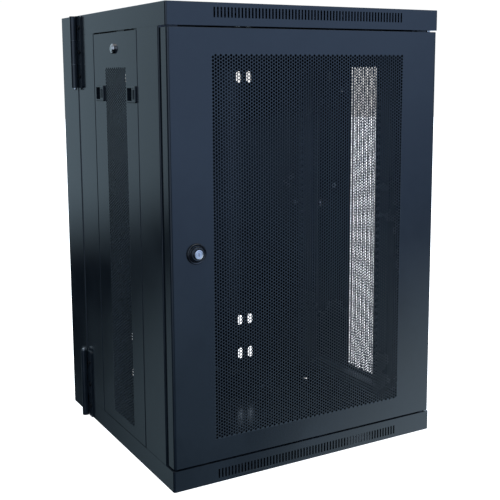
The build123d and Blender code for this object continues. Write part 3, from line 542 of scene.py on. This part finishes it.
class CABINET_OT_door_mesh(bpy.types.Operator):
    """Punch the door's field in two halves that meet behind its middle"""

    bl_idname = "cabinet.door_mesh"
    bl_label = "Add Door Mesh"

    def execute(self, context):
        sizes = settings()["sheets"]
        low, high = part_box("door_grille")
        sheet = honeycomb(high.x - low.x, high.z - low.z, sizes)
        centre = Vector(((low.x + high.x) / 2, low.y, (low.z + high.z) / 2))
        for name, sign in (("upper", 1), ("lower", -1)):
            half = sheet.copy()
            trim(half, (0, 0, 0), (0, -sign, 0))
            thickened(half, sizes.thickness)
            bmesh.ops.transform(half, matrix=facing(FRONT, centre), verts=half.verts)
            add_piece(f"{name}_door_mesh", half, "door_grille", ["door_grille"])
        sheet.free()
        return {"FINISHED"}


class CABINET_OT_side_meshes(bpy.types.Operator):
    """Punch the upright strip of each side panel"""

    bl_idname = "cabinet.side_meshes"
    bl_label = "Add Side Panel Meshes"

    def execute(self, context):
        sizes = settings()["sheets"]
        for side, sign in SIDES.items():
            node = f"{side}_side_grille"
            low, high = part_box(node)
            sheet = thickened(honeycomb(high.y - low.y, high.z - low.z, sizes), sizes.thickness)
            face = high.x if sign > 0 else low.x
            centre = Vector((face, (low.y + high.y) / 2, (low.z + high.z) / 2))
            bmesh.ops.transform(sheet, matrix=facing(Vector((sign, 0, 0)), centre), verts=sheet.verts)
            add_piece(f"{side}_side_mesh", sheet, node, [node])
        return {"FINISHED"}


class CABINET_OT_door_lock(bpy.types.Operator):
    """Turn the door lock's key face and its dished rosette"""

    bl_idname = "cabinet.door_lock"
    bl_label = "Add Door Lock"

    def execute(self, context):
        sizes = settings()["lock"]
        self.key_face(sizes)
        self.rosette(sizes)
        return {"FINISHED"}

    def key_face(self, sizes):
        """The bright plug: a rounded ring, a groove, a flat face and the key slot."""
        low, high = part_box("door_lock_plug")
        radius = (high.x - low.x) / 2
        depth = high.y - low.y
        ring, groove, edge = radius - sizes.rim, sizes.groove, mm(0.5)
        profile = [
            (0, -depth), (radius, -depth), (radius, -edge), (radius - edge * 0.3, -edge * 0.3),
            (radius - edge, 0), (ring, 0), (ring - mm(0.2), -groove), (ring - mm(0.7), -groove),
            (ring - mm(1.0), -mm(0.2)), (0, -mm(0.2)),
        ]
        plug = lathe(profile, 64)
        centre = Vector(((low.x + high.x) / 2, low.y, (low.z + high.z) / 2))
        bmesh.ops.transform(plug, matrix=facing(FRONT, centre), verts=plug.verts)
        piece = add_piece(
            "door_lock_key_face", plug, "door_lock_plug", ["door_lock_plug"], smooth_under=math.radians(35)
        )
        slot = bmesh.new()
        half_width, half_length = sizes.slot_width / 2, sizes.slot_length / 2
        brick(slot, (-half_width, -half_length, -mm(6)), (half_width, half_length, mm(1)))
        bmesh.ops.transform(slot, matrix=facing(FRONT, centre), verts=slot.verts)
        cut_out(piece, slot)

    def rosette(self, sizes):
        """The black flange with a raised rim, a dish and the collar round the plug, and the lock's body."""
        low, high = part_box("door_lock_barrel")
        plug_low, plug_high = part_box("door_lock_plug")
        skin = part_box("door_frame")[0].y
        bore = (plug_high.x - plug_low.x) / 2 + mm(0.06)
        outer, collar = (high.x - low.x) / 2, bore + mm(4.6)
        rim, top = mm(4.0), skin - low.y
        back = skin - high.y
        body = mm(9.4)
        profile = [
            (bore, back), (body, back), (body, 0), (outer, 0), (outer, rim * 0.55),
            (outer - mm(0.5), rim * 0.85), (outer - mm(1.4), rim), (outer - mm(2.2), rim * 0.94),
            (collar + mm(1.4), rim - sizes.dish), (collar + mm(0.5), rim - sizes.dish * 0.7),
            (collar, rim + mm(0.6)), (collar - mm(0.3), top - mm(0.9)), (collar - mm(1.1), top - mm(0.1)),
            (collar - mm(2.0), top), (bore + mm(0.6), top - mm(0.2)), (bore, top - mm(0.8)), (bore, back),
        ]
        flange = lathe(profile, 72)
        centre = Vector(((low.x + high.x) / 2, skin, (low.z + high.z) / 2))
        nut = bmesh.ops.create_circle(flange, cap_ends=True, segments=6, radius=mm(13.4))
        bmesh.ops.translate(flange, vec=(0, 0, -mm(5.4)), verts=nut["verts"])
        nut_face = list({face for vertex in nut["verts"] for face in vertex.link_faces})
        made = bmesh.ops.extrude_face_region(flange, geom=nut_face)
        raised = [item for item in made["geom"] if isinstance(item, bmesh.types.BMVert)]
        bmesh.ops.translate(flange, vec=(0, 0, mm(3.8)), verts=raised)
        bmesh.ops.transform(flange, matrix=facing(FRONT, centre), verts=flange.verts)
        add_piece(
            "door_lock_rosette", flange, "door_lock_barrel", ["door_lock_barrel"],
            smooth_under=math.radians(40),
        )


class CABINET_OT_pin_spring(bpy.types.Operator):
    """Wind the coil spring that pushes the door's upper pin into the top cap"""

    bl_idname = "cabinet.pin_spring"
    bl_label = "Add Door Pin Spring"

    def execute(self, context):
        sizes = settings()["spring"]
        low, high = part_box("upper_door_pin")
        door_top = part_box("door_frame")[1].z
        axis = Vector((high.x - mm(6.5), (low.y + high.y) / 2, 0))
        wire = sizes.wire / 2
        base, top = door_top - mm(35), door_top - mm(5.6) - wire
        coil = mm(4) + sizes.clearance + wire
        bm = bmesh.new()
        ring = bmesh.ops.create_circle(bm, cap_ends=True, segments=8, radius=wire)["verts"]
        bmesh.ops.rotate(bm, cent=(0, 0, 0), matrix=Matrix.Rotation(math.pi / 2, 3, "X"), verts=ring)
        bmesh.ops.translate(bm, vec=axis + Vector((coil, 0, base + wire)), verts=ring)
        steps = 20 * sizes.turns
        face = list({f for v in ring for f in v.link_faces})
        bmesh.ops.spin(
            bm, geom=face, cent=axis, axis=UP, dvec=(0, 0, (top - base - 2 * wire) / steps),
            angle=2 * math.pi * sizes.turns, steps=steps,
        )
        spring = add_piece(
            "door_pin_spring", bm, "door_frame", smooth_under=math.radians(60), slot="zinc_plate"
        )
        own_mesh(spring)
        return {"FINISHED"}


class CABINET_OT_stage(bpy.types.Operator):
    """Lay the pale floor, set the soft light and stand the camera"""

    bl_idname = "cabinet.stage"
    bl_label = "Add Stage"

    def execute(self, context):
        self.floor()
        self.lights()
        self.surroundings()
        self.camera()
        return {"FINISHED"}

    def floor(self):
        """A wide pale floor at the cabinet's base."""
        bm = bmesh.new()
        bmesh.ops.create_circle(bm, cap_ends=True, segments=96, radius=FLOOR_RADIUS)
        mesh = bpy.data.meshes.new("floor")
        bm.to_mesh(mesh)
        bm.free()
        material, _, shader = new_material("pale_floor")
        shader.inputs["Base Color"].default_value = (0.8, 0.8, 0.8, 1.0)
        shader.inputs["Roughness"].default_value = 0.9
        shader.inputs["Emission Color"].default_value = (1.0, 1.0, 1.0, 1.0)
        shader.inputs["Emission Strength"].default_value = FLOOR_GLOW
        mesh.materials.append(material)
        floor = bpy.data.objects.new("floor", mesh)
        bpy.context.scene.collection.objects.link(floor)
        floor.location.z = CAD_LOW.z - mm(0.2)
        floor.visible_glossy = False
        floor.visible_diffuse = False

    def lights(self):
        """A broad light from overhead."""
        data = bpy.data.lights.new("overhead", "SUN")
        data.energy = 1.6
        data.angle = math.radians(70)
        light = bpy.data.objects.new("overhead", data)
        light.rotation_euler = (math.radians(-12), math.radians(8), 0)
        bpy.context.scene.collection.objects.link(light)

    def surroundings(self):
        """A white room that the camera sees, and a softly shaded one that lights the cabinet."""
        world = bpy.data.worlds.new("studio")
        world.use_nodes = True
        bpy.context.scene.world = world
        tree = world.node_tree
        tree.nodes.clear()
        way = tree.nodes.new("ShaderNodeTexCoord").outputs["Generated"]
        light = None
        for direction, inner, outer, tint, strength in STUDIO_PATCHES:
            patch = self.patch(tree, way, Vector(direction).normalized(), inner, outer, tint, strength)
            light = patch if light is None else self.added(tree, light, patch)
        shaded = tree.nodes.new("ShaderNodeBackground")
        tree.links.new(light, shaded.inputs["Color"])
        white = tree.nodes.new("ShaderNodeBackground")
        white.inputs["Strength"].default_value = WHITE_ROOM
        ray = tree.nodes.new("ShaderNodeLightPath")
        choice = tree.nodes.new("ShaderNodeMixShader")
        tree.links.new(ray.outputs["Is Camera Ray"], choice.inputs["Fac"])
        tree.links.new(shaded.outputs["Background"], choice.inputs[1])
        tree.links.new(white.outputs["Background"], choice.inputs[2])
        end = tree.nodes.new("ShaderNodeOutputWorld")
        tree.links.new(choice.outputs["Shader"], end.inputs["Surface"])

    def patch(self, tree, way, direction, inner, outer, tint, strength):
        """A soft round patch of light in one direction, from full at inner degrees to none at outer."""
        dot = tree.nodes.new("ShaderNodeVectorMath")
        dot.operation = "DOT_PRODUCT"
        dot.inputs[1].default_value = direction
        tree.links.new(way, dot.inputs[0])
        edge, full = math.cos(math.radians(outer)), math.cos(math.radians(inner))
        amount = map_range(tree, dot.outputs["Value"], edge, full, 0.0, strength)
        colour_node = tree.nodes.new("ShaderNodeVectorMath")
        colour_node.operation = "SCALE"
        colour_node.inputs[0].default_value = tint
        tree.links.new(amount, colour_node.inputs["Scale"])
        return colour_node.outputs["Vector"]

    def added(self, tree, first, second):
        """The sum of two colours."""
        node = tree.nodes.new("ShaderNodeVectorMath")
        node.operation = "ADD"
        tree.links.new(first, node.inputs[0])
        tree.links.new(second, node.inputs[1])
        return node.outputs["Vector"]

    def camera(self):
        """A camera in front of the left corner, just under the top's height."""
        data = bpy.data.cameras.new("camera")
        data.lens = CAMERA_LENS
        data.shift_x, data.shift_y = CAMERA_SHIFT
        data.clip_start = 0.05
        camera = bpy.data.objects.new("camera", data)
        turn, tilt, roll = (math.radians(angle) for angle in CAMERA_ANGLES)
        back = Vector(
            (math.sin(turn) * math.cos(tilt), -math.cos(turn) * math.cos(tilt), math.sin(tilt))
        )
        across = UP.cross(back).normalized()
        upwards = back.cross(across)
        axes = Matrix((across, upwards, back)).transposed()
        camera.matrix_world = (
            Matrix.Translation(CAMERA_PLACE) @ axes.to_4x4() @ Matrix.Rotation(roll, 4, "Z")
        )
        bpy.context.scene.collection.objects.link(camera)
        bpy.context.scene.camera = camera
        bpy.context.scene.view_settings.view_transform = "Standard"


class CABINET_PT_sidebar(bpy.types.Panel):
    """Lists the cabinet's pieces and their sizes"""

    bl_idname = "CABINET_PT_sidebar"
    bl_label = "Rack Cabinet"
    bl_space_type = "VIEW_3D"
    bl_region_type = "UI"
    bl_category = "Rack Cabinet"

    def draw(self, context):
        for name, group in settings().items():
            box = self.layout.box()
            box.label(text=name.title())
            for key in group.__annotations__:
                box.prop(group, key)
        for operator in OPERATORS:
            self.layout.operator(operator.bl_idname)


GROUP_CLASSES = {
    "sheets": CabinetSheetSizes,
    "lock": CabinetLockSizes,
    "spring": CabinetSpringSizes,
    "colours": CabinetColours,
}
OPERATORS = (
    CABINET_OT_finishes,
    CABINET_OT_door_mesh,
    CABINET_OT_side_meshes,
    CABINET_OT_door_lock,
    CABINET_OT_pin_spring,
    CABINET_OT_stage,
)


def register():
    for cls in (*GROUP_CLASSES.values(), *OPERATORS, CABINET_PT_sidebar):
        bpy.utils.register_class(cls)
    for name, cls in GROUP_CLASSES.items():
        setattr(bpy.types.Scene, f"cabinet_{name}", bpy.props.PointerProperty(type=cls))


def unregister():
    for name in GROUP_CLASSES:
        delattr(bpy.types.Scene, f"cabinet_{name}")
    for cls in reversed((*GROUP_CLASSES.values(), *OPERATORS, CABINET_PT_sidebar)):
        bpy.utils.unregister_class(cls)


def main():
    register()
    bpy.ops.cabinet.finishes()
    bpy.ops.cabinet.door_mesh()
    bpy.ops.cabinet.side_meshes()
    bpy.ops.cabinet.door_lock()
    bpy.ops.cabinet.pin_spring()
    bpy.ops.cabinet.stage()


if __name__ == "__main__":
    main()
